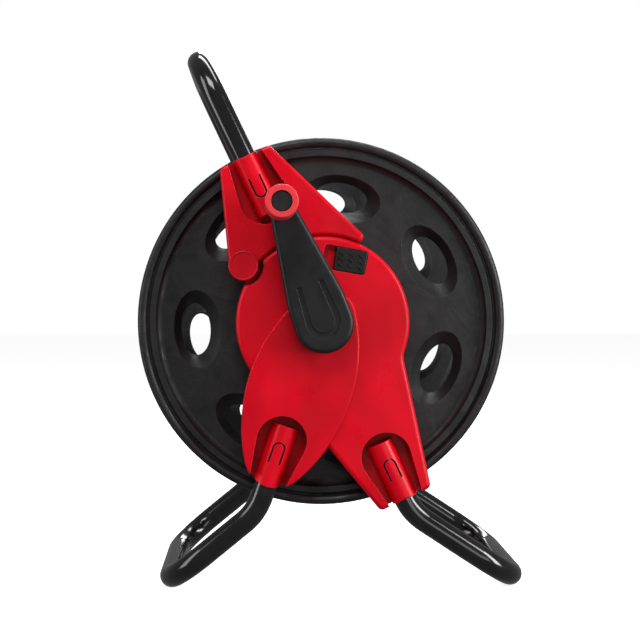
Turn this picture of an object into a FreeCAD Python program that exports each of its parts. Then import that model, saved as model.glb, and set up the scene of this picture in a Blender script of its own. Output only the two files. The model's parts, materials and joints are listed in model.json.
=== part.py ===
"""Hose reel on two folded tube feet: two side plates, a winding drum with a crank, a folding handle.

Millimetres. +X is to the right of someone facing the crank, -Y is the crank side, +Z is up.
Everything is built about the drum axle and moved to the floor centre when it is written.
"""
import FreeCAD, Part
import math
import os
from FreeCAD import Vector

# ---- drum -----------------------------------------------------------------------------------
disc_radius = 200.0
disc_wall = 3.0
winding_half_width = 97.0        # from mid-plane to the inner face of a disc
rim_rise = 10.0                  # how far the rim bead stands proud of the disc's outer face
rim_ridge_rise = 8.0
rim_step_rise = 3.0
rim_step_bow = 1.4               # how far the step bows towards the axle
rim_valley_bow = 1.3
rim_wall = 2.55
rim_bead_width = 10.0
rim_valley_width = 3.2
rim_ridge_width = 6.5
rim_step_width = 7.7
barrel_radius = 92.0
barrel_wall = 4.0
barrel_flange_width = 20.0
hole_count = 7
hole_first_angle = 29.2
hole_ring_radius = 135.5
hole_mouth_radial = 52.0
hole_mouth_tangential = 85.0
hole_throat_radial = 32.0
hole_throat_tangential = 57.0
hole_throat_shift = 2.5          # the throat sits this much further out than the mouth
hole_depth = 15.0
drum_screw_circle = 82.0
drum_screw_radius = 2.5
drum_screw_head_radius = 4.5
drum_screw_head = 2.8
drum_screw_length = 14.0
drum_screw_boss_wall = 3.0
drum_screw_end_gap = 1.0
drum_screw_edge = 1.0
rear_disc_turn = 6.5             # the rear disc's holes are turned this far from the front ones

# ---- axle and water path --------------------------------------------------------------------
axle_height = 294.0
axle_radius = 16.0
axle_bore = 9.0
axle_web = 12.0                  # closed front end of the hollow axle
disc_hub_radius = 24.0
disc_hub_length = 14.0
square_side = 20.0
square_length = 18.0
outlet_angle = 54.9
outlet_pipe_radius = 9.0
outlet_pipe_bore = 5.5
outlet_pipe_inset = 1.0          # the pipe starts this far out from the axle's bore
outlet_nipple_radius = 8.0
outlet_nipple_length = 15.0
outlet_collar_radius = 13.0
outlet_collar_thickness = 3.0
inlet_flange_radius = 27.0
inlet_flange_thickness = 5.0
inlet_nipple_radius = 8.5
inlet_nipple_length = 30.0
inlet_shoulder_radius = 13.0
inlet_shoulder_length = 6.0
inlet_bore = 5.5
inlet_spigot_length = 26.0
inlet_flange_edge = 1.2
inlet_nipple_edge = 1.5
inlet_screw_circle = 21.0
inlet_screw_radius = 2.0
inlet_screw_head_radius = 4.0
inlet_screw_head = 2.2
inlet_screw_edge = 0.8
seal_radius = 1.6
seal_pitch = 9.0
seal_start = 5.0                 # from the spigot's end to the first seal

# ---- side frame -----------------------------------------------------------------------------
disc_to_plate_gap = 2.0
plate_depth = 30.0
plate_wall = 3.0
plate_edge_round = 5.0
corner_round = 6.0
hub_radius = 93.0
tube_radius = 12.5
tube_wall = 1.5
right_leg_lean = 25.2            # degrees from straight down
left_leg_lean = 19.3
handle_lean = 25.3               # degrees from straight up
right_leg_length = 210.0
right_leg_half_width = 30.0
right_flank = (12.2, 150.0)      # the right leg's outer edge: degrees from upright, and its length
left_flank = (39.4, 147.0)       # its inner edge
waist_round = 22.0               # where the outer edge runs into the hub
handle_arm_length = 196.0
handle_arm_half_width = 29.0
petal_half_length = 112.0
petal_half_width = 56.0
petal_end_radius = 34.0
petal_centre = 73.5              # along the left leg from the axle
petal_rise = 2.5                 # the left leg plate stands this proud of the side plate
socket_wall = 1.8
socket_length = 66.0
socket_end = 4.0
socket_overshoot = 12.0          # cutting tools run this far past a socket's mouth
recess_mouth_half_width = 17.5
recess_half_width = 27.0
recess_length = 77.0
recess_floor = 6.0               # above the plate's inner face
tongue_half_width = 6.0
tongue_slot = 1.8
tongue_start = 24.0
tongue_length = 24.0
snap_radius = 3.0
snap_depth = 0.4                 # the peg starts this far inside the barrel wall
bush_wall = 3.0
bush_flange = 2.0
bush_flange_radius = 23.5
hub_boss_radius = 25.0
rib_thickness = 2.5
rib_depths = (4.0, 10.0)         # from the plate's inner edge
rib_angles = (-20.0, 15.0, 100.0, 144.3, 180.0)
rib_overlap = 2.0                # ribs run this far into the boss
plate_hole_gap = 1.0             # between a bush and the leg plate round it

# ---- feet and handle tubes ------------------------------------------------------------------
right_bend_along = 227.7         # where the right foot tube bends, measured from the axle
left_bend_along = 217.2
foot_bend_radius = 60.0
right_foot_reach = 212.0
left_foot_reach = 166.0
loop_bend_radius = 50.0
handle_reach = 313.5

# ---- handle hinge ---------------------------------------------------------------------------
hinge_outboard = 11.3            # from the hub's edge out to the handle's hinge
hinge_angle = 144.3
knob_radius = 16.0
knob_rise = 3.5
knob_dish = 0.8
knob_rim = 1.6
knob_edge = 1.2
hinge_pin_radius = 5.0
lug_depth = 12.0
lug_radius = 15.0
lug_web_half_width = 12.0
lug_web_root = 14.0              # the web starts this far inside the hub's wall
knob_recess_gap = 5.5            # shadow gap round the hinge knob
arm_gap = 0.6
arm_tip_angle = 64.5
arm_tip_width = 9.5
arm_tip_round = 4.3
arm_boss_turn = 160.0            # a point on the far side of the arm's boss
knob_overhang = 0.5              # the knob stands this far past the arm's boss
knob_seat_depth = 3.0
petal_edge_round = 2.0
handle_edge_round = 4.0
rivet_radius = 2.0
rivet_head_radius = 4.0
rivet_head = 2.2
rivet_grip = 1.6
rivet_spots = ((-31, 0), (40, 34), (40, -34), (66, 0))
hole_wall = 2.6
skin = 0.02                      # keeps a cone's wall just under the disc's face
inlet_screw_angles = (90.0, 210.0, 330.0)

# ---- latch ----------------------------------------------------------------------------------
latch_centre = (29.3, 66.2)
latch_tilt = -10.0
latch_pad = (34.0, 25.0)
latch_travel = 12.0
latch_rim_gap = 0.5
latch_corner_round = 3.0
latch_edge_round = 1.0
latch_pad_rise = 0.6             # the pad stands this proud of the plate
latch_recess_depth = 8.0
latch_slot_half_width = 3.0
latch_stem_half_width = 2.7
latch_stem_length = 10.0
latch_ridge = (5.2, 1.7)         # length and width of one grip ridge
latch_ridge_tilt = -38.0
latch_ridge_rise = 0.9
latch_ridge_edge = 0.5
latch_ridge_pitch = (10.7, 6.2)
bolt_size = (22.0, 11.0, 5.0)
bolt_tongue_half_width = 4.0
bolt_tongue_reach = 19.3
bolt_tongue_room = 12.0          # the rim slot runs this far past the tongue
spring_radius = 3.2
spring_wire = 0.9
spring_turns = 7
spring_anchor = 37.0             # from the latch pad's middle to the spring's fixed end
spring_end_gap = 0.1
anchor_thickness = 3.0
anchor_half_width = 5.0
anchor_depth = 6.0               # from the plate's inner edge

# ---- crank ----------------------------------------------------------------------------------
crank_lean = 20.1                # degrees left of straight up
crank_throw = 132.0
crank_hub_radius = 31.5
crank_shoulder = (26.0, 30.7)
crank_end_radius = 13.0
crank_shoulder_round = 60.0
crank_depth = 25.0
crank_wall = 3.5
crank_round = 5.0
crank_standoff = 5.0             # in front of the left leg plate
crank_screw_radius = 4.0
crank_screw_head_radius = 7.2
crank_screw_head = 6.0
crank_screw_tip = (0.65, 4.5)    # the bare tip: how much thinner, and its length
crank_screw_bite = 0.6           # the crank's hole is this much smaller than the screw
crank_boss_radius = 17.0
groove_depth = 1.4
groove_outer = 18.5
groove_inner = 12.0
groove_top = 44.0
groove_start = 4.0               # where its sides turn into the round bottom
groove_bottom = 15.5
groove_width = 6.0               # at the bottom
groove_taper = 0.8               # the top is this share of the width
grip_radius = 16.8
grip_length = 87.0
grip_gap = 1.0
spindle_radius = 8.0
spindle_head_radius = 10.3
spindle_head = 5.0
spindle_head_inset = 1.5
spindle_foot = (3.0, 3.0)        # its flange: rise and thickness
spindle_edge = 0.8
grip_edge = 1.6

# ---- fits -----------------------------------------------------------------------------------
running = 0.05                   # radial clearance of turning parts
seat = 0.05                      # radial clearance of parts that are fixed together
clear = 0.3                      # between fixed neighbours
slide_gap = 0.3                  # around the latch
cut_over = 1.0                   # cutting tools run this far past a face
cut_far = 5.0
weld = 1.0                       # how far joined solids of one moulding overlap
sketch_depth = 10.0              # thickness of the blanks that outlines are taken from
pick_reach = 1.0                 # how near an edge lies to the corner it is picked by
flat_error = 0.01                # what counts as lying in a plane
axle_rear_inset = 2.0
leg_mouth_inset = 1.5            # the left socket ends this far inside the leg plate's end
plate_seam = 0.15                # between the leg plate's inside and the side plate

# ---- worked out -----------------------------------------------------------------------------
disc_face = winding_half_width + disc_wall
plate_inner = disc_face + rim_rise + disc_to_plate_gap
plate_face = plate_inner + plate_depth
tube_plane = plate_inner + plate_depth / 2
petal_face = plate_face + petal_rise
socket_radius = tube_radius + socket_wall
crank_back = petal_face + crank_standoff
crank_face = crank_back + crank_depth
grip_start = crank_face + grip_gap
grip_end = grip_start + grip_length
bush_radius = axle_radius + bush_wall
bush_bore = axle_radius + running
axle_rear = plate_face - axle_rear_inset
hinge_radius = hub_radius + hinge_outboard
axle_front = crank_back
inlet_seat = petal_face
inlet_end = inlet_seat + inlet_flange_thickness + inlet_shoulder_length + inlet_nipple_length
floor_z = -axle_height
foot_centre_z = floor_z + tube_radius
arm_radius = hub_radius + arm_gap
left_leg_mouth = petal_centre + petal_half_length - leg_mouth_inset
latch_floor = plate_face - latch_recess_depth
latch_top = plate_face + latch_pad_rise

AXIS_Y = Vector(0, 1, 0)
ORIGIN = Vector(0, 0, 0)


def at(x, z, y=0.0):
    return Vector(x, y, z)


def polar(radius, angle, y=0.0):
    a = math.radians(angle)
    return Vector(radius * math.cos(a), y, radius * math.sin(a))


def along(angle, s, t=0.0, y=0.0):
    """A point s along a direction that leaves the axle at angle, t to its left."""
    a = math.radians(angle)
    return Vector(s * math.cos(a) - t * math.sin(a), y, s * math.sin(a) + t * math.cos(a))


RIGHT_LEG = -90.0 + right_leg_lean
LEFT_LEG = -90.0 - left_leg_lean
HANDLE = 90.0 + handle_lean
CRANK = 90.0 + crank_lean
LATCH = latch_tilt
hinge = polar(hinge_radius, hinge_angle)


def on_latch(u, v, y=0.0):
    """A point u along the latch's travel and v across it, from the pad's middle."""
    return at(*latch_centre) + along(LATCH, u, v, y)


# ---- small shape helpers --------------------------------------------------------------------
def polygon(points):
    return Part.Face(Part.makePolygon(list(points) + [points[0]]))


def disc_face_at(centre, radius):
    edge = Part.makeCircle(radius, centre, AXIS_Y)
    return Part.Face(Part.Wire([edge]))


def ellipse_wire(centre, angle, half_long, half_short, y):
    """An ellipse in a plane of constant Y, its long axis at angle."""
    curve = Part.Ellipse(ORIGIN, half_long, half_short).toShape()
    curve.rotate(ORIGIN, Vector(1, 0, 0), 90)
    curve.rotate(ORIGIN, AXIS_Y, -angle)
    curve.translate(Vector(centre.x, y, centre.z))
    return Part.Wire([curve])


def slab(face, near, far):
    """The crank-side prism of a flat outline between two distances from the mid-plane."""
    moved = face.copy()
    moved.translate(Vector(0, -near, 0))
    return moved.extrude(Vector(0, near - far, 0))


def rod(centre, radius, near, far):
    """A cylinder across the frame on the crank side."""
    return Part.makeCylinder(radius, far - near, Vector(centre.x, -far, centre.z), AXIS_Y)


def ring(centre, outer, inner, near, far):
    return rod(centre, outer, near, far).cut(rod(centre, inner, near - cut_over, far + cut_over))


def across(start, direction, length, radius):
    return Part.makeCylinder(radius, length, start, direction)


def block(angle, origin, u0, u1, v0, v1, near, far):
    """A box turned with angle about an origin, on the crank side."""
    a = math.radians(angle)
    du = Vector(math.cos(a), 0, math.sin(a))
    dv = Vector(-math.sin(a), 0, math.cos(a))
    corners = [origin + du * u + dv * v for u, v in ((u0, v0), (u1, v0), (u1, v1), (u0, v1))]
    return slab(polygon(corners), near, far)


def mirrored(shape):
    """The same piece on the far side of the mid-plane."""
    return shape.mirror(ORIGIN, AXIS_Y)


def joined(shapes):
    first = shapes[0]
    rest = shapes[1:]
    return first.fuse(rest).removeSplitter() if rest else first


def upright_edges(shape, test):
    """Edges across the frame whose middle passes the test."""
    found = []
    for edge in shape.Edges:
        middle = edge.CenterOfMass
        size = edge.BoundBox
        upright = size.YLength > pick_reach and max(size.XLength, size.ZLength) < flat_error
        if upright and test(middle):
            found.append(edge)
    return found


def face_edges(shape, distance):
    """Edges that lie in the plane at this distance on the crank side."""
    found = []
    for edge in shape.Edges:
        size = edge.BoundBox
        if max(abs(size.YMin + distance), abs(size.YMax + distance)) < flat_error:
            found.append(edge)
    return found


def near_point(point, reach):
    return lambda p: math.hypot(p.x - point.x, p.z - point.z) < reach


def rounded(shape, radius, edges):
    return shape.makeFillet(radius, edges)


def offset_outline(face, distance):
    """The outline grown, or shrunk where the distance is negative, whichever way its wire runs."""
    moved = face.makeOffset2D(distance)
    if (moved.Area > face.Area) != (distance > 0):
        moved = face.makeOffset2D(-distance)
    return moved


def touch_point(point, centre, radius, side):
    """Where a line from a point touches a circle, on one side of the line to its middle."""
    away = point - centre
    spread = math.acos(radius / away.Length)
    turn = math.atan2(away.z, away.x) + side * spread
    return centre + at(radius * math.cos(turn), radius * math.sin(turn))


def corner_arc(before, corner, after, radius):
    """The start, middle and end of an arc that rounds a corner."""
    back = (before - corner).normalize()
    ahead = (after - corner).normalize()
    turn = math.pi - back.getAngle(ahead)
    cut = radius * math.tan(turn / 2)
    sagitta = radius / math.cos(turn / 2) - radius
    return corner + back * cut, corner + (back + ahead).normalize() * sagitta, corner + ahead * cut


# ---- sockets shared by the handle arm and both legs -----------------------------------------
def recess_outline(angle, mouth, grow=0.0):
    """A keyhole-shaped recess around a socket, open at its mouth."""
    radius = recess_half_width + grow
    centre_s = mouth - recess_length + recess_half_width
    start_s = mouth + socket_overshoot
    half = recess_mouth_half_width + grow
    centre = along(angle, centre_s)
    a = along(angle, start_s, half)
    b = touch_point(a, centre, radius, 1)
    c = along(angle, centre_s - radius)
    e = along(angle, start_s, -half)
    d = touch_point(e, centre, radius, -1)
    edges = [
        Part.LineSegment(a, b).toShape(),
        Part.Arc(b, c, d).toShape(),
        Part.LineSegment(d, e).toShape(),
        Part.LineSegment(e, a).toShape(),
    ]
    return Part.Face(Part.Wire(edges))


def stadium(angle, start_s, end_s, half):
    """A slot outline with a round far end, square at its start."""
    turn = end_s + half
    a = along(angle, start_s, half)
    b = along(angle, turn, half)
    c = along(angle, end_s, 0)
    d = along(angle, turn, -half)
    e = along(angle, start_s, -half)
    edges = [
        Part.LineSegment(a, b).toShape(),
        Part.Arc(b, c, d).toShape(),
        Part.LineSegment(d, e).toShape(),
        Part.LineSegment(e, a).toShape(),
    ]
    return Part.Face(Part.Wire(edges))


def socket_parts(angle, mouth):
    """The barrel that holds a tube, its bore, the snap tongue's slot and the snap peg."""
    direction = along(angle, 1.0)
    start = along(angle, mouth - socket_length, 0, -tube_plane)
    barrel = across(start, direction, socket_length + socket_overshoot, socket_radius)
    bore_start = along(angle, mouth - socket_length + socket_end, 0, -tube_plane)
    bore = across(bore_start, direction, socket_length + socket_overshoot, tube_radius + seat)
    slot_start = mouth - tongue_start
    slot_end = mouth - tongue_start - tongue_length
    outer = stadium(angle, slot_start, slot_end, tongue_half_width + tongue_slot / 2)
    inner = stadium(angle, slot_start + cut_over, slot_end + tongue_slot, tongue_half_width - tongue_slot / 2)
    slot = slab(outer, tube_plane, petal_face + cut_far)
    slot = slot.cut(slab(inner, tube_plane - cut_over, petal_face + cut_far + cut_over))
    peg_centre = along(angle, slot_end + tongue_half_width + tongue_slot)
    peg_top = tube_plane + tube_radius
    peg = rod(peg_centre, snap_radius, peg_top - tube_wall, peg_top + seat + snap_depth)
    return barrel, bore, slot, peg


def snap_hole(angle, mouth):
    """The hole in a tube that the snap peg drops into."""
    slot_end = mouth - tongue_start - tongue_length
    centre = along(angle, slot_end + tongue_half_width + tongue_slot)
    return rod(centre, snap_radius + clear, tube_plane, tube_plane + tube_radius + cut_over)


def hollowed(outer_face, near, far, edge_round, trays):
    """A moulding open towards the drum, with trays let into its outer face.

    Each tray is (outline, grown outline, floor distance)."""
    body = slab(outer_face, near, far)
    body = rounded(body, edge_round, face_edges(body, far))
    envelope = body.copy()
    cavity = slab(offset_outline(outer_face, -plate_wall), near - cut_over, far - plate_wall)
    for outline, grown, floor in trays:
        cavity = cavity.cut(slab(grown, floor - plate_wall, far + cut_far))
    body = body.cut(cavity)
    for outline, grown, floor in trays:
        body = body.cut(slab(outline, floor, far + cut_far))
    return body, envelope


def with_socket(body, envelope, angle, mouth):
    barrel, bore, slot, peg = socket_parts(angle, mouth)
    barrel = barrel.common(envelope)
    return joined([body, barrel]).cut(bore).cut(slot).fuse(peg).removeSplitter()


def ribs(envelope, centre, angles, inner, outer, near, far):
    """Straight stiffeners from a boss outwards, trimmed to the moulding."""
    found = []
    for angle in angles:
        bar = block(angle, centre, inner, outer, -rib_thickness / 2, rib_thickness / 2, near, far)
        found.append(bar.common(envelope))
    return found


# ---- side plate -----------------------------------------------------------------------------
def flank_top(foot, flank):
    """The upper end of a leg's straight edge, leaning towards the hub."""
    lean, length = flank
    return foot + at(-length * math.sin(math.radians(lean)), length * math.cos(math.radians(lean)))


def hub_crossing(start, end):
    """Where an edge that runs in from outside meets the hub's circle."""
    step = end - start
    a = step.dot(step)
    b = start.dot(step)
    c = start.dot(start) - hub_radius ** 2
    return start + step * ((-b - math.sqrt(b * b - a * c)) / a)


def side_plate_outline():
    """The round hub with the right leg running off it."""
    left_foot = along(RIGHT_LEG, right_leg_length, -right_leg_half_width)
    right_foot = along(RIGHT_LEG, right_leg_length, right_leg_half_width)
    right_top = flank_top(right_foot, right_flank)
    left_top = flank_top(left_foot, left_flank)
    leg = polygon([left_foot, right_foot, right_top, left_top])
    hub = disc_face_at(ORIGIN, hub_radius)
    prism = slab(hub, 0, sketch_depth).fuse(slab(leg, 0, sketch_depth)).removeSplitter()
    foot_edges = upright_edges(prism, near_point(left_foot, pick_reach))
    foot_edges += upright_edges(prism, near_point(right_foot, pick_reach))
    prism = rounded(prism, corner_round, foot_edges)
    waist = upright_edges(prism, near_point(hub_crossing(right_foot, right_top), pick_reach))
    prism = rounded(prism, waist_round, waist)
    return flat_outline(prism, 0)


def flat_outline(prism, distance):
    """The face of a prism that lies in the plane at this distance."""
    for face in prism.Faces:
        size = face.BoundBox
        if size.YLength < flat_error and abs(size.YMin + distance) < flat_error:
            outline = Part.Face(face.OuterWire)
            outline.translate(Vector(0, distance, 0))
            return outline
    raise ValueError("no flat face")


def latch_outline(grow=0.0):
    half_u = latch_pad[0] / 2 + latch_rim_gap + grow
    half_v = latch_pad[1] / 2 + latch_rim_gap + grow
    corners = [
        on_latch(-half_u - latch_travel, -half_v),
        on_latch(half_u, -half_v),
        on_latch(half_u, half_v),
        on_latch(-half_u - latch_travel, half_v),
    ]
    prism = slab(polygon(corners), 0, sketch_depth)
    corner = latch_corner_round + latch_rim_gap + grow
    prism = rounded(prism, corner, upright_edges(prism, lambda p: True))
    return flat_outline(prism, 0)


def knob_outline(grow=0.0):
    return disc_face_at(hinge, knob_radius + knob_recess_gap + grow)


def side_plate():
    outline = side_plate_outline()
    leg_recess = recess_outline(RIGHT_LEG, right_leg_length)
    leg_recess_grown = recess_outline(RIGHT_LEG, right_leg_length, plate_wall)
    trays = [
        (leg_recess, leg_recess_grown, plate_inner + recess_floor),
        (latch_outline(), latch_outline(plate_wall), latch_floor),
        (knob_outline(), knob_outline(plate_wall), plate_inner + lug_depth),
    ]
    body, envelope = hollowed(outline, plate_inner, plate_face, plate_edge_round, trays)
    body = with_socket(body, envelope, RIGHT_LEG, right_leg_length)
    boss = rod(ORIGIN, hub_boss_radius, plate_inner + bush_flange, plate_face)
    lug = rod(hinge, lug_radius, plate_inner, plate_inner + lug_depth)
    web = block(hinge_angle, ORIGIN, hub_radius - plate_wall - lug_web_root, hinge_radius,
                -lug_web_half_width, lug_web_half_width, plate_inner, plate_inner + lug_depth)
    stiffeners = ribs(envelope, ORIGIN, rib_angles, hub_boss_radius - rib_overlap, hub_radius - weld,
                      plate_inner + rib_depths[0], plate_inner + rib_depths[1])
    anchor = block(LATCH, at(*latch_centre), -spring_anchor - anchor_thickness, -spring_anchor,
                   -anchor_half_width, anchor_half_width, plate_inner + anchor_depth,
                   plate_face - plate_wall / 2)
    body = joined([body, boss, lug, web, anchor] + stiffeners)
    near = plate_inner - cut_over
    body = body.cut(rod(ORIGIN, bush_radius + seat, near, plate_face + cut_over))
    body = body.cut(rod(ORIGIN, bush_flange_radius + clear, near, plate_inner + bush_flange))
    body = body.cut(rod(hinge, hinge_pin_radius + seat, near, plate_face + cut_over))
    slot = block(LATCH, at(*latch_centre), -latch_stem_length / 2 - latch_travel - slide_gap,
                 latch_stem_length / 2 + slide_gap, -latch_slot_half_width, latch_slot_half_width,
                 latch_floor - plate_wall - cut_over, latch_floor + cut_over)
    rim_slot = block(LATCH, at(*latch_centre), -bolt_tongue_half_width - latch_travel - slide_gap,
                     bolt_tongue_half_width + slide_gap, bolt_size[1] / 2,
                     bolt_tongue_reach + bolt_tongue_room,
                     latch_floor - plate_wall - bolt_size[2] - 2 * slide_gap, latch_floor - plate_wall)
    for place in rivet_places():
        body = body.cut(rod(place, rivet_radius + seat, plate_face - plate_wall - cut_over,
                            plate_face + cut_over))
    return body.cut(slot).cut(rim_slot)


# ---- left leg plate -------------------------------------------------------------------------
def petal_outline():
    """A long oval of four tangent arcs: two round ends and two shallow sides."""
    half, width, end = petal_half_length, petal_half_width, petal_end_radius
    side = ((half - end) ** 2 + width ** 2 - end ** 2) / (2 * (width - end))
    touch_s = (half - end) + end * (half - end) / (side - end)
    touch_t = end * (side - width) / (side - end)
    lower_left = along(LEFT_LEG, petal_centre + touch_s, -touch_t)
    lower_right = along(LEFT_LEG, petal_centre + touch_s, touch_t)
    upper_right = along(LEFT_LEG, petal_centre - touch_s, touch_t)
    upper_left = along(LEFT_LEG, petal_centre - touch_s, -touch_t)
    edges = [
        Part.Arc(lower_left, along(LEFT_LEG, petal_centre + half), lower_right).toShape(),
        Part.Arc(lower_right, along(LEFT_LEG, petal_centre, width), upper_right).toShape(),
        Part.Arc(upper_right, along(LEFT_LEG, petal_centre - half), upper_left).toShape(),
        Part.Arc(upper_left, along(LEFT_LEG, petal_centre, -width), lower_left).toShape(),
    ]
    return Part.Face(Part.Wire(edges))


def rivet_places():
    return [along(LEFT_LEG, s, t) for s, t in rivet_spots]


def left_leg_plate():
    outline = petal_outline()
    mouth = left_leg_mouth
    recess = recess_outline(LEFT_LEG, mouth)
    recess_grown = recess_outline(LEFT_LEG, mouth, plate_wall)
    trays = [(recess, recess_grown, plate_inner + recess_floor)]
    body, envelope = hollowed(outline, plate_inner, petal_face, petal_edge_round, trays)
    body = with_socket(body, envelope, LEFT_LEG, mouth)
    room = offset_outline(side_plate_outline(), clear)
    body = body.cut(slab(room, plate_inner - cut_over, plate_face + plate_seam))
    body = body.cut(rod(ORIGIN, bush_radius + plate_hole_gap, plate_inner - cut_over, petal_face + cut_over))
    for place in rivet_places():
        body = body.cut(rod(place, rivet_radius + seat, plate_inner, plate_face + rivet_grip + seat))
    return max(body.Solids, key=lambda solid: solid.Volume)


def leg_plate_rivets():
    found = []
    for place in rivet_places():
        shank = rod(place, rivet_radius, plate_face - plate_wall, plate_face + rivet_grip)
        head = rod(place, rivet_head_radius, plate_face - plate_wall - rivet_head, plate_face - plate_wall)
        rivet = shank.fuse(head).removeSplitter()
        found += [rivet, mirrored(rivet)]
    return Part.makeCompound(found)


# ---- handle arm -----------------------------------------------------------------------------
def circle_crossing(radius, other_centre_radius, other_radius):
    """The half angle, seen from the axle, that another circle takes out of the axle's circle."""
    reach = (radius ** 2 - other_radius ** 2 + other_centre_radius ** 2) / (2 * other_centre_radius)
    return math.degrees(math.acos(reach / radius))


def handle_arm_outline():
    """The arm from its end face down to an arc that wraps the hub, with a boss at the hinge."""
    half = handle_arm_half_width
    boss = knob_radius - knob_overhang
    end_left = along(HANDLE, handle_arm_length, half)
    end_right = along(HANDLE, handle_arm_length, -half)
    tip_inner = polar(arm_radius, arm_tip_angle)
    tip_outer = polar(arm_radius + arm_tip_width, arm_tip_angle)
    boss_angle = hinge_angle - circle_crossing(arm_radius, hinge_radius, boss)
    boss_start = polar(arm_radius, boss_angle)
    middle = polar(arm_radius, (arm_tip_angle + boss_angle) / 2)
    boss_end = touch_point(end_left, hinge, boss, 1)
    edges = [
        Part.LineSegment(end_left, end_right).toShape(),
        Part.LineSegment(end_right, tip_outer).toShape(),
        Part.LineSegment(tip_outer, tip_inner).toShape(),
        Part.Arc(tip_inner, middle, boss_start).toShape(),
        Part.Arc(boss_start, hinge + polar(boss, hinge_angle + arm_boss_turn), boss_end).toShape(),
        Part.LineSegment(boss_end, end_left).toShape(),
    ]
    prism = slab(Part.Face(Part.Wire(edges)), 0, sketch_depth)
    for radius, corners in ((arm_tip_round, (tip_outer, tip_inner)), (corner_round, (end_left, end_right))):
        picked = [edge for corner in corners for edge in upright_edges(prism, near_point(corner, pick_reach))]
        prism = rounded(prism, radius, picked)
    return flat_outline(prism, 0)


def handle_arm():
    outline = handle_arm_outline()
    recess = recess_outline(HANDLE, handle_arm_length)
    recess_grown = recess_outline(HANDLE, handle_arm_length, plate_wall)
    trays = [(recess, recess_grown, plate_inner + recess_floor)]
    body, envelope = hollowed(outline, plate_inner, plate_face, handle_edge_round, trays)
    body = with_socket(body, envelope, HANDLE, handle_arm_length)
    boss = rod(hinge, knob_radius - knob_overhang, plate_inner + lug_depth + clear,
               plate_face - knob_seat_depth)
    body = joined([body, boss])
    near = plate_inner - cut_over
    body = body.cut(rod(hinge, knob_radius + knob_recess_gap + clear, near, plate_inner + lug_depth + clear))
    body = body.cut(rod(hinge, hinge_pin_radius + running, near, plate_face + cut_over))
    body = body.cut(rod(hinge, knob_radius + seat, plate_face - knob_seat_depth, plate_face + cut_over))
    return max(body.Solids, key=lambda solid: solid.Volume)


def hinge_pin():
    return rod(hinge, hinge_pin_radius, plate_inner, plate_face - knob_seat_depth - clear)


def hinge_knob():
    """A round cap over the hinge pin, with a raised rim."""
    cap = rod(hinge, knob_radius, plate_face - knob_seat_depth, plate_face + knob_rise)
    cap = rounded(cap, knob_edge, face_edges(cap, plate_face + knob_rise))
    top = plate_face + knob_rise
    dish = rod(hinge, knob_radius - knob_rim, top - knob_dish, top + cut_over)
    return cap.cut(dish)


# ---- tubes ----------------------------------------------------------------------------------
def loop_path(points, radii):
    """A path of straight runs joined by tangent arcs at the inner points."""
    edges = []
    start = points[0]
    for index in range(1, len(points) - 1):
        corner = points[index]
        enter, middle, leave = corner_arc(points[index - 1], corner, points[index + 1], radii[index - 1])
        edges.append(Part.LineSegment(start, enter).toShape())
        edges.append(Part.Arc(enter, middle, leave).toShape())
        start = leave
    edges.append(Part.LineSegment(start, points[-1]).toShape())
    return Part.Wire(edges)


def swept(path, radius):
    start = path.Vertexes[0].Point
    first = path.Edges[0]
    direction = first.tangentAt(first.FirstParameter)
    circle = Part.Wire([Part.makeCircle(radius, start, direction)])
    return path.makePipeShell([circle], True, False)


def tube(points, radii, holes):
    path = loop_path(points, radii)
    body = swept(path, tube_radius).cut(swept(path, tube_radius - tube_wall))
    for hole in holes:
        body = body.cut(hole).cut(mirrored(hole))
    return body


def handle_tube():
    start = handle_arm_length - socket_length + socket_end
    near = -tube_plane
    points = [
        along(HANDLE, start, 0, near),
        along(HANDLE, handle_reach, 0, near),
        along(HANDLE, handle_reach, 0, -near),
        along(HANDLE, start, 0, -near),
    ]
    return tube(points, [loop_bend_radius] * 2, [snap_hole(HANDLE, handle_arm_length)])


def foot_tube(angle, mouth, bend_along, foot):
    start = mouth - socket_length + socket_end
    near = -tube_plane
    points = [
        along(angle, start, 0, near),
        along(angle, bend_along, 0, near),
        foot + Vector(0, near, 0),
        foot + Vector(0, -near, 0),
        along(angle, bend_along, 0, -near),
        along(angle, start, 0, -near),
    ]
    radii = [foot_bend_radius, loop_bend_radius, loop_bend_radius, foot_bend_radius]
    return tube(points, radii, [snap_hole(angle, mouth)])


def right_foot_tube():
    foot = at(right_foot_reach, foot_centre_z)
    return foot_tube(RIGHT_LEG, right_leg_length, right_bend_along, foot)


def left_foot_tube():
    foot = at(-left_foot_reach, foot_centre_z)
    return foot_tube(LEFT_LEG, left_leg_mouth, left_bend_along, foot)


# ---- drum -----------------------------------------------------------------------------------
def turned(profile):
    """A solid of revolution about the axle; profile points are (radius, distance on the crank side)."""
    edges = []
    for item in profile:
        points = [Vector(r, -d, 0) for r, d in item]
        if len(points) == 2:
            edges.append(Part.LineSegment(*points).toShape())
        else:
            edges.append(Part.Arc(*points).toShape())
    return Part.Face(Part.Wire(edges)).revolve(ORIGIN, AXIS_Y, 360)


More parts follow.
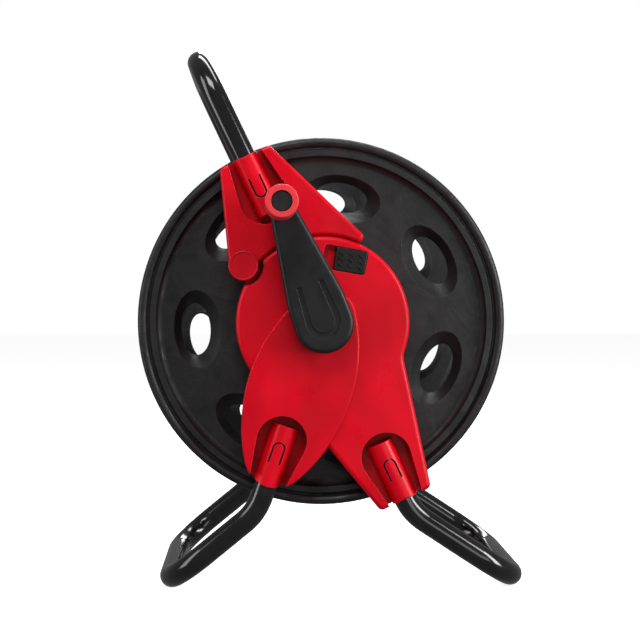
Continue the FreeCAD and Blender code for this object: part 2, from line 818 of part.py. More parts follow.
def disc_profile():
    """Flat field, a step up to a narrow ridge, a valley and the round bead at the rim."""
    face = disc_face
    inside = winding_half_width
    bead = disc_radius - rim_bead_width
    valley = bead - rim_valley_width
    ridge = valley - rim_ridge_width
    step = ridge - rim_step_width
    ridge_top = face + rim_ridge_rise
    bead_top = face + rim_rise
    bead_middle = bead + rim_bead_width / 2
    valley_floor = bead_top - rim_bead_width / 2
    under_valley = valley_floor - rim_wall
    return [
        [(disc_hub_radius, face), (step, face)],
        [(step, face), (ridge - rim_step_bow, face + rim_step_rise), (ridge, ridge_top)],
        [(ridge, ridge_top), (valley, ridge_top)],
        [(valley, ridge_top), (bead - rim_valley_bow, valley_floor), (bead, valley_floor)],
        [(bead, valley_floor), (bead_middle, bead_top), (disc_radius, valley_floor)],
        [(disc_radius, valley_floor), (disc_radius, inside)],
        [(disc_radius, inside), (disc_radius - rim_wall, inside)],
        [(disc_radius - rim_wall, inside), (disc_radius - rim_wall, valley_floor)],
        [(disc_radius - rim_wall, valley_floor), (bead_middle, bead_top - rim_wall), (bead, under_valley)],
        [(bead, under_valley), (ridge + rim_wall, under_valley)],
        [(ridge + rim_wall, under_valley), (ridge, face), (step + rim_wall, inside)],
        [(step + rim_wall, inside), (disc_hub_radius, inside)],
        [(disc_hub_radius, inside), (disc_hub_radius, face)],
    ]


def oval(angle, ring_radius, radial, tangential, distance):
    return ellipse_wire(polar(ring_radius, angle), angle + 90.0, tangential / 2, radial / 2, -distance)


def hole_cone(angle, grow, near, far):
    """The tapered wall of one hole, between two ovals set apart across the disc."""
    grow = 2 * grow
    mouth = oval(angle, hole_ring_radius, hole_mouth_radial + grow, hole_mouth_tangential + grow, far)
    throat = oval(angle, hole_ring_radius + hole_throat_shift, hole_throat_radial + grow,
                  hole_throat_tangential + grow, near)
    return Part.makeLoft([mouth, throat], True, True)


def hole_angles(turn=0.0):
    return [hole_first_angle + turn + index * 360.0 / hole_count for index in range(hole_count)]


def screw_angles():
    return [angle + 180.0 / hole_count for angle in hole_angles()]


def disc(turn=0.0):
    """One flange of the drum: its holes are turned, its hub and screw holes are not."""
    body = turned(disc_profile())
    hub = ring(ORIGIN, disc_hub_radius + weld, axle_radius + seat, winding_half_width - disc_hub_length / 2,
               winding_half_width + disc_hub_length / 2)
    body = body.fuse(hub)
    throat_distance = disc_face - hole_depth
    for angle in hole_angles(turn):
        body = body.fuse(hole_cone(angle, hole_wall, throat_distance, disc_face - skin))
    for angle in hole_angles(turn):
        body = body.cut(hole_cone(angle, 0, throat_distance, disc_face))
    for angle in screw_angles():
        body = body.cut(rod(polar(drum_screw_circle, angle), drum_screw_radius + seat,
                            winding_half_width - cut_over, disc_face + cut_over))
    return body.removeSplitter()


def drum_barrel():
    length = 2 * winding_half_width
    start = Vector(0, -winding_half_width, 0)
    body = Part.makeCylinder(barrel_radius, length, start, AXIS_Y)
    body = body.cut(Part.makeCylinder(barrel_radius - barrel_wall, length, start, AXIS_Y))
    flange = ring(ORIGIN, barrel_radius - barrel_wall / 2, barrel_radius - barrel_flange_width,
                  winding_half_width - drum_screw_length, winding_half_width)
    hollow_end = winding_half_width - barrel_wall
    flange = flange.cut(rod(ORIGIN, barrel_radius - barrel_wall - weld, 0, hollow_end))
    body = body.fuse([flange, mirrored(flange)])
    for angle in screw_angles():
        place = polar(drum_screw_circle, angle)
        boss_start = winding_half_width - drum_screw_length - drum_screw_boss_wall
        boss = rod(place, drum_screw_radius + drum_screw_boss_wall, boss_start, winding_half_width)
        body = body.fuse([boss, mirrored(boss)])
    for angle in screw_angles():
        place = polar(drum_screw_circle, angle)
        hole = rod(place, drum_screw_radius + seat, winding_half_width - drum_screw_length,
                   winding_half_width + cut_over)
        body = body.cut(hole).cut(mirrored(hole))
    pipe = across(ORIGIN, polar(1, outlet_angle), barrel_radius + outlet_nipple_length,
                  outlet_pipe_radius + seat)
    return body.cut(pipe).removeSplitter()


def drum_screws():
    found = []
    for angle in screw_angles():
        place = polar(drum_screw_circle, angle)
        shank = rod(place, drum_screw_radius, disc_face - drum_screw_length + drum_screw_end_gap, disc_face)
        head = rod(place, drum_screw_head_radius, disc_face, disc_face + drum_screw_head)
        head = rounded(head, drum_screw_edge, face_edges(head, disc_face + drum_screw_head))
        screw = shank.fuse(head).removeSplitter()
        found += [screw, mirrored(screw)]
    return Part.makeCompound(found)


def drum_axle():
    """Hollow axle: a square end for the crank, an open rear end that takes the water inlet."""
    body = Part.makeCylinder(axle_radius, axle_front + axle_rear, Vector(0, -axle_front, 0), AXIS_Y)
    half = square_side / 2
    square = block(0, ORIGIN, -half, half, -half, half, axle_front - weld, axle_front + square_length)
    body = body.fuse(square).removeSplitter()
    bore_length = axle_rear + axle_front - axle_web
    bore_start = Vector(0, axle_web - axle_front, 0)
    body = body.cut(Part.makeCylinder(axle_bore, bore_length + cut_over, bore_start, AXIS_Y))
    screw_length = axle_web + square_length + crank_depth
    body = body.cut(Part.makeCylinder(crank_screw_radius + seat, screw_length,
                                      Vector(0, axle_web - axle_front - screw_length, 0), AXIS_Y))
    return body.cut(across(ORIGIN, polar(1, outlet_angle), axle_radius + cut_over, outlet_pipe_radius + seat))


def hose_outlet():
    """The pipe from the axle out through the barrel, ending in the nipple for the hose."""
    direction = polar(1, outlet_angle)
    pipe_start = axle_bore + outlet_pipe_inset
    collar_start = barrel_radius + clear
    nipple_start = collar_start + outlet_collar_thickness
    pipe = across(direction * pipe_start, direction, collar_start + weld - pipe_start, outlet_pipe_radius)
    collar = across(direction * collar_start, direction, outlet_collar_thickness, outlet_collar_radius)
    nipple = across(direction * nipple_start, direction, outlet_nipple_length, outlet_nipple_radius)
    bore = across(ORIGIN, direction, nipple_start + outlet_nipple_length + cut_over, outlet_pipe_bore)
    return pipe.fuse([collar, nipple]).removeSplitter().cut(bore)


# ---- bushes, inlet and seals ----------------------------------------------------------------
def axle_bush():
    sleeve = ring(ORIGIN, bush_radius, bush_bore, plate_inner + bush_flange, plate_face)
    flange = ring(ORIGIN, bush_flange_radius, bush_bore, plate_inner, plate_inner + bush_flange)
    return sleeve.fuse(flange).removeSplitter()


def seal_places():
    first = inlet_seat - inlet_spigot_length + seal_start
    return [first, first + seal_pitch]


def water_inlet():
    """Rear inlet: flange, shoulder and hose nipple outside, a sealed spigot inside the axle."""
    flange_end = inlet_seat + inlet_flange_thickness
    flange = rod(ORIGIN, inlet_flange_radius, inlet_seat, flange_end)
    flange = rounded(flange, inlet_flange_edge, face_edges(flange, flange_end))
    shoulder_end = flange_end + inlet_shoulder_length
    shoulder = rod(ORIGIN, inlet_shoulder_radius, inlet_seat + weld, shoulder_end)
    nipple = rod(ORIGIN, inlet_nipple_radius, shoulder_end - weld, inlet_end)
    nipple = rounded(nipple, inlet_nipple_edge, face_edges(nipple, inlet_end))
    spigot = rod(ORIGIN, axle_bore - running, inlet_seat - inlet_spigot_length, inlet_seat + weld)
    body = joined([flange, shoulder, nipple, spigot])
    spigot_end = inlet_seat - inlet_spigot_length
    body = body.cut(rod(ORIGIN, inlet_bore, spigot_end - cut_over, inlet_end + cut_over))
    for place in seal_places():
        groove = ring(ORIGIN, axle_bore + cut_over, axle_bore - 2 * seal_radius,
                      place - seal_radius, place + seal_radius)
        body = body.cut(groove)
    for angle in inlet_screw_angles:
        body = body.cut(rod(polar(inlet_screw_circle, angle), inlet_screw_radius + seat,
                            inlet_seat - cut_over, inlet_end))
    return mirrored(body)


def inlet_seals():
    found = []
    for place in seal_places():
        seal = Part.makeTorus(axle_bore - seal_radius - running, seal_radius - running,
                              Vector(0, place, 0), AXIS_Y)
        found.append(seal)
    return Part.makeCompound(found)


def inlet_screws():
    found = []
    outside = inlet_seat + inlet_flange_thickness
    for angle in inlet_screw_angles:
        place = polar(inlet_screw_circle, angle)
        shank = rod(place, inlet_screw_radius, plate_inner + bush_flange + 2 * cut_over, outside)
        head = rod(place, inlet_screw_head_radius, outside, outside + inlet_screw_head)
        head = rounded(head, inlet_screw_edge, face_edges(head, outside + inlet_screw_head))
        found.append(mirrored(shank.fuse(head).removeSplitter()))
    return Part.makeCompound(found)


# ---- latch ----------------------------------------------------------------------------------
def latch_block(u0, u1, v0, v1, near, far):
    return block(LATCH, at(*latch_centre), u0, u1, v0, v1, near, far)


def latch_slider():
    """The thumb pad with its grip ridges, and the stem that reaches through the slot."""
    half_u = latch_pad[0] / 2
    half_v = latch_pad[1] / 2
    pad = latch_block(-half_u, half_u, -half_v, half_v, latch_floor + slide_gap, latch_top)
    pad = rounded(pad, latch_corner_round, upright_edges(pad, lambda p: True))
    pad = rounded(pad, latch_edge_round, face_edges(pad, latch_top))
    half_long, half_wide = latch_ridge[0] / 2, latch_ridge[1] / 2
    ridge_top = latch_top + latch_ridge_rise
    ridges = []
    for column in (-1, 0, 1):
        for row in (-1, 0, 1):
            place = on_latch(column * latch_ridge_pitch[0], row * latch_ridge_pitch[1])
            ridge = block(latch_ridge_tilt, place, -half_long, half_long, -half_wide, half_wide,
                          latch_top - weld, ridge_top)
            ridges.append(rounded(ridge, latch_ridge_edge, face_edges(ridge, ridge_top)))
    stem_half = latch_stem_length / 2
    stem = latch_block(-stem_half, stem_half, -latch_stem_half_width, latch_stem_half_width,
                       latch_floor - plate_wall - slide_gap, latch_floor + slide_gap + weld)
    return joined([pad, stem] + ridges)


def latch_bolt():
    """The bar behind the plate that carries the locking tongue, clipped to the stem."""
    far = latch_floor - plate_wall - slide_gap
    near = far - bolt_size[2]
    bar = latch_block(-bolt_size[0] / 2, bolt_size[0] / 2, -bolt_size[1] / 2, bolt_size[1] / 2, near, far)
    tongue = latch_block(-bolt_tongue_half_width, bolt_tongue_half_width, 0, bolt_tongue_reach,
                         near + slide_gap, far - slide_gap / 2)
    return joined([bar, tongue])


def latch_spring():
    """A compression spring between the bolt and the anchor on the side plate."""
    start = -bolt_size[0] / 2 - spring_wire - spring_end_gap
    depth = latch_floor - plate_wall - clear - spring_radius - spring_wire / 2
    length = spring_anchor + start - spring_wire - spring_end_gap
    helix = Part.makeHelix(length / spring_turns, length, spring_radius)
    circle = Part.Wire([Part.makeCircle(spring_wire / 2, Vector(spring_radius, 0, 0), AXIS_Y)])
    coil = Part.Wire(helix.Edges).makePipeShell([circle], True, True)
    coil.rotate(ORIGIN, AXIS_Y, -90 - LATCH)
    coil.translate(on_latch(start, 0, -depth))
    return coil


# ---- crank ----------------------------------------------------------------------------------
def crank_outline():
    """A lobe round the axle that tapers to the grip."""
    s, t = crank_shoulder
    tip = along(CRANK, crank_throw)
    left = along(CRANK, s, t)
    right = along(CRANK, s, -t)
    hub_left = touch_point(left, ORIGIN, crank_hub_radius, 1)
    hub_right = touch_point(right, ORIGIN, crank_hub_radius, -1)
    tip_left = touch_point(left, tip, crank_end_radius, -1)
    tip_right = touch_point(right, tip, crank_end_radius, 1)
    left_arc = corner_arc(hub_left, left, tip_left, crank_shoulder_round)
    right_arc = corner_arc(tip_right, right, hub_right, crank_shoulder_round)
    edges = [
        Part.LineSegment(hub_left, left_arc[0]).toShape(),
        Part.Arc(*left_arc).toShape(),
        Part.LineSegment(left_arc[2], tip_left).toShape(),
        Part.Arc(tip_left, along(CRANK, crank_throw + crank_end_radius), tip_right).toShape(),
        Part.LineSegment(tip_right, right_arc[0]).toShape(),
        Part.Arc(*right_arc).toShape(),
        Part.LineSegment(right_arc[2], hub_right).toShape(),
        Part.Arc(hub_right, along(CRANK, -crank_hub_radius), hub_left).toShape(),
    ]
    return Part.Face(Part.Wire(edges))


def groove_outline(half, bottom):
    a = along(CRANK, groove_top, half * groove_taper)
    b = along(CRANK, groove_start, half)
    c = along(CRANK, -bottom)
    d = along(CRANK, groove_start, -half)
    e = along(CRANK, groove_top, -half * groove_taper)
    edges = [
        Part.LineSegment(a, b).toShape(),
        Part.Arc(b, c, d).toShape(),
        Part.LineSegment(d, e).toShape(),
        Part.LineSegment(e, a).toShape(),
    ]
    return Part.Face(Part.Wire(edges))


def crank_arm():
    outline = crank_outline()
    body = slab(outline, crank_back, crank_face)
    body = rounded(body, crank_round, face_edges(body, crank_face))
    back = crank_back - cut_over
    cavity = slab(offset_outline(outline, -crank_wall), back, crank_face - crank_wall)
    grip_centre = along(CRANK, crank_throw)
    boss = rod(ORIGIN, crank_boss_radius, back, crank_face)
    end_boss = rod(grip_centre, crank_end_radius, back, crank_face)
    body = body.cut(cavity.cut(boss).cut(end_boss))
    floor = crank_face - groove_depth
    outer = slab(groove_outline(groove_outer, groove_bottom), floor, crank_face + cut_over)
    inner = slab(groove_outline(groove_inner, groove_bottom - groove_width), floor - cut_over,
                 crank_face + 2 * cut_over)
    body = body.cut(outer.cut(inner))
    half = square_side / 2 + seat
    body = body.cut(block(0, ORIGIN, -half, half, -half, half, back, crank_back + square_length + seat))
    body = body.cut(rod(ORIGIN, crank_screw_radius - crank_screw_bite, crank_back,
                        crank_back + square_length + cut_far))
    body = body.cut(rod(grip_centre, spindle_radius + seat, back, crank_face + cut_over))
    foot_rise, foot_thickness = spindle_foot
    return body.cut(rod(grip_centre, spindle_radius + foot_rise + seat, back, crank_back + foot_thickness))


def crank_screw():
    """Screwed from inside the axle into the crank."""
    head_end = axle_front - axle_web
    shank = rod(ORIGIN, crank_screw_radius, head_end, axle_front + square_length)
    head = rod(ORIGIN, crank_screw_head_radius, head_end - crank_screw_head, head_end)
    thinner, tip_length = crank_screw_tip
    tip_start = axle_front + square_length
    tip = rod(ORIGIN, crank_screw_radius - thinner, tip_start, tip_start + tip_length)
    return joined([shank, head, tip])


def grip_spindle():
    centre = along(CRANK, crank_throw)
    head_end = grip_end - spindle_head_inset
    foot_rise, foot_thickness = spindle_foot
    shaft = rod(centre, spindle_radius, crank_back, head_end)
    foot = rod(centre, spindle_radius + foot_rise, crank_back, crank_back + foot_thickness - seat)
    head = rod(centre, spindle_head_radius, head_end - spindle_head, head_end)
    head = rounded(head, spindle_edge, face_edges(head, head_end))
    return joined([shaft, foot, head])


def grip_sleeve():
    centre = along(CRANK, crank_throw)
    body = rod(centre, grip_radius, grip_start, grip_end)
    body = rounded(body, grip_edge, face_edges(body, grip_end) + face_edges(body, grip_start))
    body = body.cut(rod(centre, spindle_radius + running, grip_start - cut_over, grip_end + cut_over))
    head_room = rod(centre, spindle_head_radius + clear, grip_end - spindle_head_inset - spindle_head - clear,
                    grip_end + cut_over)
    return body.cut(head_room)


# ---- writing --------------------------------------------------------------------------------
def pieces():
    plate = side_plate()
    leg_plate = left_leg_plate()
    arm = handle_arm()
    pin = hinge_pin()
    knob = hinge_knob()
    bush = axle_bush()
    slider = latch_slider()
    bolt = latch_bolt()
    spring = latch_spring()
    pairs = {
        "side_plate": plate,
        "left_leg_plate": leg_plate,
        "handle_arm": arm,
        "hinge_pin": pin,
        "hinge_knob": knob,
        "axle_bush": bush,
        "latch_slider": slider,
        "latch_bolt": bolt,
        "latch_spring": spring,
    }
    found = {}
    for name, shape in pairs.items():
        found["front_" + name] = shape
        found["rear_" + name] = mirrored(shape)
    found["front_disc"] = disc()
    found["rear_disc"] = mirrored(disc(rear_disc_turn))
    singles = {
        "handle_tube": handle_tube,
        "left_foot_tube": left_foot_tube,
        "right_foot_tube": right_foot_tube,
        "leg_plate_rivets": leg_plate_rivets,
        "drum_barrel": drum_barrel,
        "drum_screws": drum_screws,
        "drum_axle": drum_axle,
        "hose_outlet": hose_outlet,
        "water_inlet": water_inlet,
        "inlet_seals": inlet_seals,
        "inlet_screws": inlet_screws,
        "crank_arm": crank_arm,
        "crank_screw": crank_screw,
        "grip_spindle": grip_spindle,
        "grip_sleeve": grip_sleeve,
    }
    for name, build in singles.items():
        found[name] = build()
    for angle in inlet_screw_angles:
        screw_hole = rod(polar(inlet_screw_circle, angle), inlet_screw_radius + seat,
                         plate_inner + bush_flange + cut_over, petal_face + cut_over)
        for name in ("rear_side_plate", "rear_left_leg_plate"):
            found[name] = found[name].cut(mirrored(screw_hole))
    return found


def frame_shift():
    """From the axle to the middle of the whole object's footprint, on the floor."""
    right = max(right_foot_reach + tube_radius, disc_radius)
    left = max(left_foot_reach + tube_radius, disc_radius)
    return Vector((left - right) / 2, (grip_end - inlet_end) / 2, axle_height)


def main():
    os.makedirs("parts", exist_ok=True)
    shift = frame_shift()
    print("axle at", round(shift.x, 3), round(shift.y, 3), round(shift.z, 3))
    for name, shape in pieces().items():
        moved = shape.copy()
        moved.translate(shift)
        print(name, len(moved.Solids), round(moved.Volume), moved.isValid())
        moved.exportStep("parts/" + name + ".step")


main()
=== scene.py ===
import json
import math
import bmesh
import bpy
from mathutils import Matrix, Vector

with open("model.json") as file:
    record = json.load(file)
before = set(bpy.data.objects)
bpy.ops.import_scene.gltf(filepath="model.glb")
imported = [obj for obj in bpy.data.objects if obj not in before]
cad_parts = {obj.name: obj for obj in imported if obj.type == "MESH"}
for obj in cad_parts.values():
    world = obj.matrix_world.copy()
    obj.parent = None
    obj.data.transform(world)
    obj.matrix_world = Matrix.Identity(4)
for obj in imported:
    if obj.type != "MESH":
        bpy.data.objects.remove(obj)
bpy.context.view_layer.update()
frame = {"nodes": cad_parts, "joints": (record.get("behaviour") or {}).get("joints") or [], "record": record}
nodes = frame["nodes"]
joints = {joint["name"]: joint for joint in frame["joints"]}
axle = Vector(joints["drum_spin"]["pos_m"])   # every drum pattern is centred here
print("frame loaded:", len(nodes), "parts")


# ---- helpers for node materials

def newFinish(name, color, roughness, metallic=0.0, coat=0.0, coatRoughness=0.1, ior=1.48):
    material = bpy.data.materials.new(name)
    material.use_nodes = True
    tree = material.node_tree
    tree.nodes.clear()
    shader = tree.nodes.new("ShaderNodeBsdfPrincipled")
    output = tree.nodes.new("ShaderNodeOutputMaterial")
    tree.links.new(shader.outputs["BSDF"], output.inputs["Surface"])
    shader.inputs["Base Color"].default_value = (*color, 1)
    shader.inputs["Roughness"].default_value = roughness
    shader.inputs["Metallic"].default_value = metallic
    shader.inputs["Coat Weight"].default_value = coat
    shader.inputs["Coat Roughness"].default_value = coatRoughness
    shader.inputs["IOR"].default_value = ior
    return material, tree, shader


def objectPoint(tree, stretch=(1, 1, 1), centre=(0, 0, 0)):
    coordinates = tree.nodes.new("ShaderNodeTexCoord")
    mapping = tree.nodes.new("ShaderNodeMapping")
    mapping.vector_type = "TEXTURE"   # centre is the pattern's own place
    mapping.inputs["Location"].default_value = centre
    mapping.inputs["Scale"].default_value = [1 / part for part in stretch]
    tree.links.new(coordinates.outputs["Object"], mapping.inputs["Vector"])
    return mapping.outputs["Vector"]


def noise(tree, point, size, detail=3.0, roughness=0.5, distortion=0.0):
    texture = tree.nodes.new("ShaderNodeTexNoise")
    texture.inputs["Scale"].default_value = 1 / size   # size is a blotch's width in metres
    texture.inputs["Detail"].default_value = detail
    texture.inputs["Roughness"].default_value = roughness
    texture.inputs["Distortion"].default_value = distortion
    tree.links.new(point, texture.inputs["Vector"])
    return texture.outputs["Fac"]


def spread(tree, value, low, high, start=0.35, end=0.65):
    node = tree.nodes.new("ShaderNodeMapRange")
    node.inputs["From Min"].default_value = start
    node.inputs["From Max"].default_value = end
    node.inputs["To Min"].default_value = low
    node.inputs["To Max"].default_value = high
    tree.links.new(value, node.inputs["Value"])
    return node.outputs["Result"]


def combine(tree, operation, first, second):
    node = tree.nodes.new("ShaderNodeMath")
    node.operation = operation
    for socket, value in zip(node.inputs, (first, second)):
        if isinstance(value, (int, float)):
            socket.default_value = value
        else:
            tree.links.new(value, socket)
    return node.outputs["Value"]


def mixColors(tree, factor, first, second):
    node = tree.nodes.new("ShaderNodeMix")
    node.data_type = "RGBA"
    tree.links.new(factor, node.inputs[0])
    colorInputs = [socket for socket in node.inputs if socket.type == "RGBA"]
    for socket, value in zip(colorInputs, (first, second)):
        if isinstance(value, tuple):
            socket.default_value = (*value, 1)
        else:
            tree.links.new(value, socket)
    return next(socket for socket in node.outputs if socket.type == "RGBA")


def bump(tree, height, depth, normal=None):
    node = tree.nodes.new("ShaderNodeBump")
    node.inputs["Strength"].default_value = 1.0
    node.inputs["Distance"].default_value = depth
    tree.links.new(height, node.inputs["Height"])
    if normal is not None:
        tree.links.new(normal, node.inputs["Normal"])
    return node.outputs["Normal"]


# painted shade: an ambient-occlusion mask, used to darken recesses and corners in the base colour
def paintedShadeMask(tree, reach):
    node = tree.nodes.new("ShaderNodeAmbientOcclusion")
    node.inputs["Distance"].default_value = reach
    node.samples = 8
    return node.outputs["AO"]


# ---- finishes

# the shade colour is painted shade in recesses; the edge colour is a painted highlight along rounded edges
redShell = {
    "pale": (0.80, 0.0, 0.014),
    "deep": (0.62, 0.0, 0.010),
    "shade": (0.52, 0.0, 0.005),
    "edge": (0.88, 0.10, 0.13),
    "edgeStrength": 0.6,
    "roughness": (0.26, 0.40),
    "rounding": 0.0009,
    "blotchSize": 0.050,
    "cloudSize": 0.030,
    "recessReach": 0.014,
    "sinkSize": 0.045,
    "sinkDepth": 0.0005,
    "grainSize": 0.0009,
    "grainDepth": 0.000008,
}


# catches the light along sharp edges, as a moulded rim does
def roundedNormal(tree, radius):
    node = tree.nodes.new("ShaderNodeBevel")
    node.samples = 4
    node.inputs["Radius"].default_value = radius
    return node.outputs["Normal"]


# how far a point is turned by that rounding: 0 on a flat, towards 1 on an edge
def edgeShare(tree, radius):
    geometry = tree.nodes.new("ShaderNodeNewGeometry")
    product = tree.nodes.new("ShaderNodeVectorMath")
    product.operation = "DOT_PRODUCT"
    tree.links.new(roundedNormal(tree, radius), product.inputs[0])
    tree.links.new(geometry.outputs["Normal"], product.inputs[1])
    return spread(tree, product.outputs["Value"], 1, 0, start=0.72, end=0.99)


def makeRedShell(name="redShell", values=redShell):
    material, tree, shader = newFinish(name, values["pale"], values["roughness"][0], ior=1.33)
    point = objectPoint(tree)
    blotches = noise(tree, objectPoint(tree, stretch=(1, 1, 0.6)), values["blotchSize"], detail=2)
    tint = mixColors(tree, spread(tree, blotches, 0, 1), values["deep"], values["pale"])
    # painted shade: the base colour goes towards the dark shade colour in recesses and corners
    paintedRecessShade = spread(tree, paintedShadeMask(tree, values["recessReach"]), 1, 0, start=0.25, end=0.85)
    shaded = mixColors(tree, paintedRecessShade, tint, values["shade"])
    # painted highlight: the base colour goes towards pale pink along rounded edges, in place of softbox
    # reflections
    edges = combine(tree, "MULTIPLY", edgeShare(tree, values["rounding"]), values["edgeStrength"])
    tree.links.new(mixColors(tree, edges, shaded, values["edge"]), shader.inputs["Base Color"])
    cloud = noise(tree, point, values["cloudSize"], detail=3)
    tree.links.new(spread(tree, cloud, *values["roughness"]), shader.inputs["Roughness"])
    rounded = roundedNormal(tree, values["rounding"])
    sink = bump(tree, noise(tree, point, values["sinkSize"], detail=1), values["sinkDepth"], rounded)
    grain = bump(tree, noise(tree, point, values["grainSize"], detail=2), values["grainDepth"], sink)
    tree.links.new(grain, shader.inputs["Normal"])
    return material


blackDrum = {
    "pale": (0.020, 0.019, 0.020),
    "deep": (0.007, 0.007, 0.008),
    "roughness": 0.42,
    "rounding": 0.0008,
    "flowSize": 0.050,
    "scuffSize": 0.026,
    "rippleDepth": 0.0007,
    "grainSize": 0.0012,
    "grainDepth": 0.00002,
}


def makeBlackDrum(name="blackDrum", values=blackDrum):
    material, tree, shader = newFinish(name, values["pale"], values["roughness"])
    point = objectPoint(tree, centre=axle)
    flow = noise(tree, point, values["flowSize"], detail=7, roughness=0.62, distortion=2.4)
    scuff = noise(tree, point, values["scuffSize"], detail=5, distortion=0.6)
    marks = spread(tree, combine(tree, "MULTIPLY", flow, scuff), 0, 1, 0.16, 0.36)
    tint = mixColors(tree, marks, values["deep"], values["pale"])
    tree.links.new(tint, shader.inputs["Base Color"])
    tree.links.new(spread(tree, flow, 0.60, 0.34, 0.35, 0.62), shader.inputs["Roughness"])
    ripple = bump(tree, flow, values["rippleDepth"], roundedNormal(tree, values["rounding"]))
    grain = bump(tree, noise(tree, point, values["grainSize"], detail=2), values["grainDepth"], ripple)
    tree.links.new(grain, shader.inputs["Normal"])
    return material


blackTube = {
    "color": (0.006, 0.006, 0.007),
    "dust": (0.012, 0.012, 0.013),
    "dustSize": 0.020,
    "roughness": 0.14,
    "lacquer": 0.6,
    "lacquerRoughness": 0.08,
}


def makeBlackTube(name="blackTube", values=blackTube):
    material, tree, shader = newFinish(name, values["color"], values["roughness"],
                                       coat=values["lacquer"], coatRoughness=values["lacquerRoughness"])
    point = objectPoint(tree)
    dust = noise(tree, point, values["dustSize"], detail=6, roughness=0.65)
    settled = mixColors(tree, spread(tree, dust, 0, 1, 0.45, 0.75), values["color"], values["dust"])
    tree.links.new(settled, shader.inputs["Base Color"])
    tree.links.new(spread(tree, dust, 0.12, 0.20), shader.inputs["Roughness"])
    return material


mouldedSurface = {"cloudSize": 0.022, "sinkSize": 0.018, "sinkDepth": 0.0003, "rounding": 0.0008}
blackCrank = {"pale": (0.008, 0.007, 0.008), "deep": (0.004, 0.004, 0.004)}


def makeBlackMoulded(name, values, roughness=(0.38, 0.55), grainSize=0.0011, grainDepth=0.00003):
    material, tree, shader = newFinish(name, values["pale"], roughness[0])
    point = objectPoint(tree)
    cloud = noise(tree, point, mouldedSurface["cloudSize"], detail=6, roughness=0.6, distortion=0.8)
    tint = mixColors(tree, spread(tree, cloud, 0, 1), values["deep"], values["pale"])
    tree.links.new(tint, shader.inputs["Base Color"])
    tree.links.new(spread(tree, cloud, *roughness), shader.inputs["Roughness"])
    rounded = roundedNormal(tree, mouldedSurface["rounding"])
    sink = noise(tree, point, mouldedSurface["sinkSize"], detail=2)
    soft = bump(tree, sink, mouldedSurface["sinkDepth"], rounded)
    grain = bump(tree, noise(tree, point, grainSize, detail=2), grainDepth, soft)
    tree.links.new(grain, shader.inputs["Normal"])
    return material


brightSteel = {
    "pale": (0.62, 0.62, 0.60),
    "deep": (0.38, 0.38, 0.37),
    "roughness": 0.3,
    "cloudSize": 0.004,
    "lineSize": 0.0004,
    "lineDepth": 0.00001,
}


def makeBrightSteel(name="brightSteel", values=brightSteel):
    material, tree, shader = newFinish(name, values["pale"], values["roughness"], metallic=1.0)
    point = objectPoint(tree)
    cloud = noise(tree, point, values["cloudSize"], detail=5, roughness=0.6)
    tint = mixColors(tree, spread(tree, cloud, 0, 1), values["deep"], values["pale"])
    tree.links.new(tint, shader.inputs["Base Color"])
    tree.links.new(spread(tree, cloud, 0.24, 0.42), shader.inputs["Roughness"])
    lines = noise(tree, objectPoint(tree, stretch=(1, 0.04, 1)), values["lineSize"], detail=2)
    tree.links.new(bump(tree, lines, values["lineDepth"]), shader.inputs["Normal"])
    return material


paleBearing = {"pale": (0.74, 0.73, 0.68), "deep": (0.62, 0.60, 0.54)}
greyFitting = {"pale": (0.17, 0.17, 0.18), "deep": (0.12, 0.12, 0.13)}
sealRubber = {"pale": (0.024, 0.024, 0.024), "deep": (0.012, 0.012, 0.012)}
redGrip = {**redShell, "pale": (0.92, 0.075, 0.085), "deep": (0.84, 0.050, 0.060)}

finishes = {
    "red_shell": makeRedShell(),
    "red_grip": makeRedShell("redGrip", redGrip),
    "black_tube": makeBlackTube(),
    "black_drum": makeBlackDrum(),
    "black_crank": makeBlackMoulded("blackCrank", blackCrank),
    "black_latch": makeBlackMoulded("blackLatch", blackCrank, roughness=(0.30, 0.45)),
    "bright_steel": makeBrightSteel(),
    "pale_bearing": makeBlackMoulded("paleBearing", paleBearing),
    "grey_fitting": makeBlackMoulded("greyFitting", greyFitting),
    "seal_rubber": makeBlackMoulded("sealRubber", sealRubber, roughness=(0.6, 0.8)),
}
for subpart in frame["record"]["subparts"]:
    materials = nodes[subpart["node"]].data.materials
    materials.clear()
    materials.append(finishes[subpart["material_slot"]])
print("finishes made:", len(finishes))


# ---- floor, light and camera

def placeShape(name, shape, material):
    mesh = bpy.data.meshes.new(name)
    shape.to_mesh(mesh)
    shape.free()
    piece = bpy.data.objects.new(name, mesh)
    bpy.context.scene.collection.objects.link(piece)
    mesh.materials.append(material)
    return piece


studio = {"floorReach": 7.0, "domeRadius": 9.0, "floorGlow": 0.82, "ambient": 0.15}


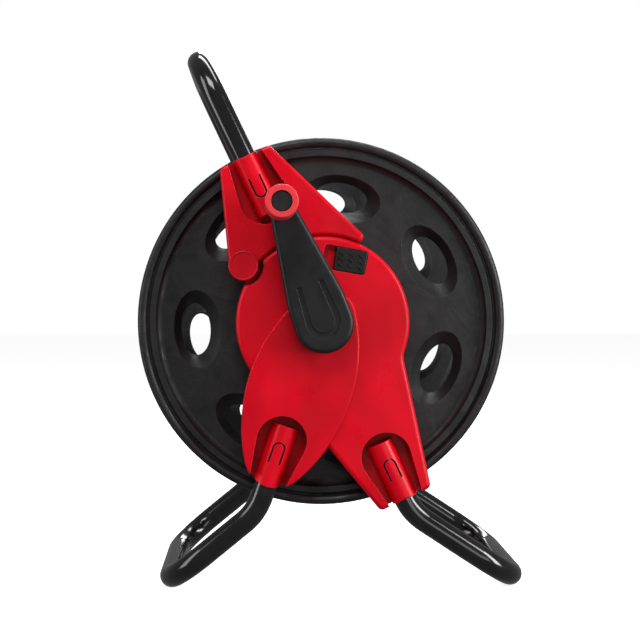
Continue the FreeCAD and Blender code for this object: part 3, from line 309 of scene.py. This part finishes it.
def makeStudio(values=studio):
    material, tree, shader = newFinish("paleFloor", (0.86, 0.86, 0.86), 0.85)
    cloud = noise(tree, objectPoint(tree), 0.9, detail=2)
    tint = mixColors(tree, cloud, (0.84, 0.84, 0.84), (0.88, 0.88, 0.88))
    tree.links.new(tint, shader.inputs["Base Color"])
    shader.inputs["Emission Color"].default_value = (1, 1, 1, 1)
    shader.inputs["Emission Strength"].default_value = values["floorGlow"]
    shape = bmesh.new()
    bmesh.ops.create_grid(shape, x_segments=2, y_segments=2, size=values["floorReach"])
    floor = placeShape("floor", shape, material)
    floor.visible_glossy = floor.visible_diffuse = False
    white, tree, shader = newFinish("paleBackdrop", (0, 0, 0), 1.0)
    shader.inputs["Emission Color"].default_value = (1, 1, 1, 1)
    shader.inputs["Emission Strength"].default_value = 1.0
    shape = bmesh.new()
    bmesh.ops.create_uvsphere(shape, u_segments=48, v_segments=24, radius=values["domeRadius"])
    dome = placeShape("backdrop", shape, white)
    dome.visible_diffuse = dome.visible_glossy = dome.visible_shadow = False   # only seen, it lights nothing
    world = bpy.data.worlds.new("studio")
    bpy.context.scene.world = world
    world.use_nodes = True
    world.node_tree.nodes["Background"].inputs["Strength"].default_value = values["ambient"]
    world.node_tree.nodes["Background"].inputs["Color"].default_value = (1, 1, 1, 1)


lamps = {
    "keySoftbox": {"place": (-0.5, -1.9, 2.2), "size": (1.4, 1.0), "power": 34},
    "fillSoftbox": {"place": (1.8, -1.0, 0.7), "size": (0.6, 1.6), "power": 36},
    "leftSoftbox": {"place": (-1.8, -0.7, 0.6), "size": (0.7, 1.6), "power": 12},
    "lowSoftbox": {"place": (0.9, -2.0, 0.15), "size": (1.2, 0.6), "power": 4},
    "topStrip": {"place": (0.2, 0.3, 1.8), "size": (1.6, 0.3), "power": 12},
    "rearSoftbox": {"place": (0.4, 2.2, 1.6), "size": (1.4, 1.0), "power": 26},
}


def makeLamp(name, place, size, power):
    data = bpy.data.lights.new(name, "AREA")
    data.shape = "RECTANGLE"
    data.size, data.size_y = size
    data.energy = power
    lamp = bpy.data.objects.new(name, data)
    bpy.context.scene.collection.objects.link(lamp)
    lamp.location = place
    lamp.rotation_mode = "QUATERNION"
    lamp.rotation_quaternion = (Vector(place) - axle).to_track_quat("Z", "Y")


makeStudio()
for name, values in lamps.items():
    makeLamp(name, **values)

cameraView = {"place": (-0.07645, -1.7115, 0.3453), "yaw": -2.17, "pitch": -1.72, "lens": 84.9}
camera = bpy.data.objects.new("camera", bpy.data.cameras.new("camera"))
bpy.context.scene.collection.objects.link(camera)
camera.data.sensor_width = 36
camera.data.lens = cameraView["lens"]
camera.location = cameraView["place"]
camera.rotation_euler = (math.radians(90 + cameraView["pitch"]), 0, math.radians(cameraView["yaw"]))
bpy.context.scene.camera = camera

bpy.context.scene.view_settings.view_transform = "Standard"
print("studio ready")
